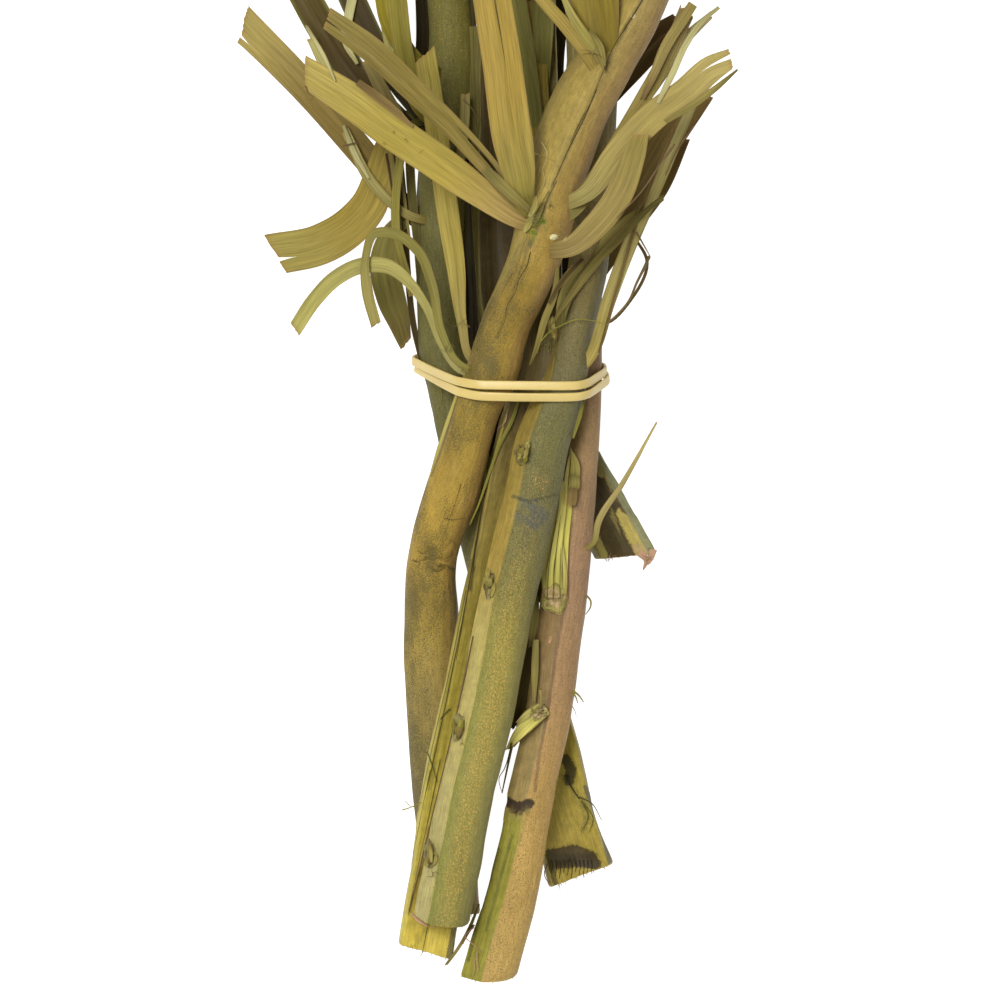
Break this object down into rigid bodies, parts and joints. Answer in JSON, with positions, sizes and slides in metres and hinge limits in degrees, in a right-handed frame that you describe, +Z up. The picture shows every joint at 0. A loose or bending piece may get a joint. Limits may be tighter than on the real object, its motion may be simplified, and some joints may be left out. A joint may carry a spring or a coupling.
{
  "type": "dried palm leaf bunch",
  "caption": "Bunch of dried coco palm leaf stems with trimmed leaflets, tied by a rubber band wound twice, lying flat with its cut ends one way.",
  "frame": {"origin": "centre of the underside of the bunch as it lies, on the surface under it", "axes": "+Y along the stems from the cut ends to the leafy tips, +Z up, away from the surface"},
  "size_m": [0.2929, 0.6362, 0.0703],
  "materials": {
    "stem_ochre": "dried palm rachis, satin",
    "stem_green": "dried palm rachis, satin",
    "stem_yellow": "dried palm rachis, satin",
    "stem_mauve": "dried palm rachis, satin",
    "stem_olive": "dried palm rachis, satin",
    "stem_dark": "dried palm rachis, satin",
    "latex": "natural latex, smooth"
  },
  "bodies": {
    "root": {"stem_a": "stem_ochre", "stem_b": "stem_green", "stem_c": "stem_yellow", "stem_d": "stem_mauve", "stem_e": "stem_olive", "stem_f": "stem_dark", "rubber_band": "latex"}
  },
  "joints": []
}
